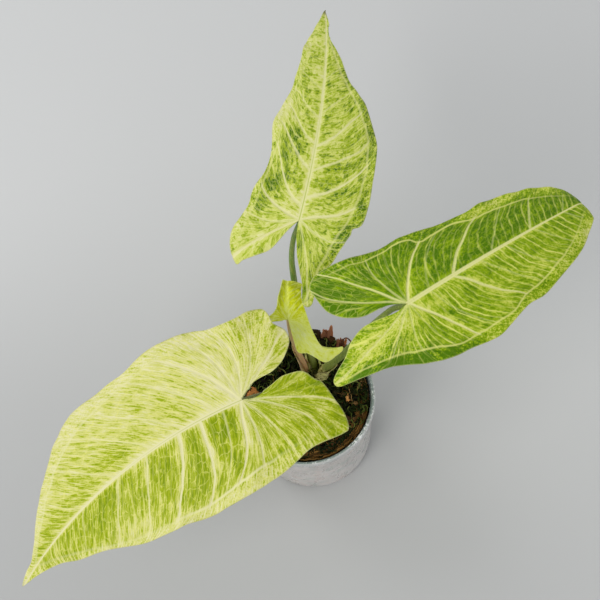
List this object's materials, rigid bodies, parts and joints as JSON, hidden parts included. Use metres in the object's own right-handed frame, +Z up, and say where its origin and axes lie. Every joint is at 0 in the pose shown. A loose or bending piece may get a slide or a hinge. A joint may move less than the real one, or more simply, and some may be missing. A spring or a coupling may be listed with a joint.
{
  "type": "arrowhead plant in pot",
  "caption": "Small arrowhead house plant with large variegated arrow-shaped leaves on long stalks, growing in a little tapered milky plastic nursery pot.",
  "frame": {"origin": "centre of the flat underside of the pot, on the surface it stands on", "axes": "+Z up along the pot's axis; +Y towards the back leaf's side and -X towards the side on which the front leaf spreads"},
  "size_m": [0.2549, 0.1964, 0.1528],
  "materials": {
    "pot_plastic": "satin",
    "potting_mix": "matte",
    "bark": "matte",
    "crown_sheath": "satin",
    "pale_leaf": "satin",
    "back_stalk": "satin",
    "green_leaf": "satin",
    "right_stalk": "satin",
    "cream_leaf": "satin",
    "front_stalk": "satin",
    "young_leaf": "satin",
    "young_stalk": "satin"
  },
  "bodies": {
    "root": {"pot": "pot_plastic", "potting_mix": "potting_mix", "bark_chip_1": "bark", "bark_chip_2": "bark", "bark_chip_3": "bark", "bark_chip_4": "bark", "bark_chip_5": "bark", "bark_chip_6": "bark", "bark_chip_7": "bark", "crown": "crown_sheath", "blade_back": "pale_leaf", "petiole_back": "back_stalk", "blade_right": "green_leaf", "petiole_right": "right_stalk", "blade_front": "cream_leaf", "petiole_front": "front_stalk", "blade_young": "young_leaf", "petiole_young": "young_stalk"}
  },
  "joints": []
}
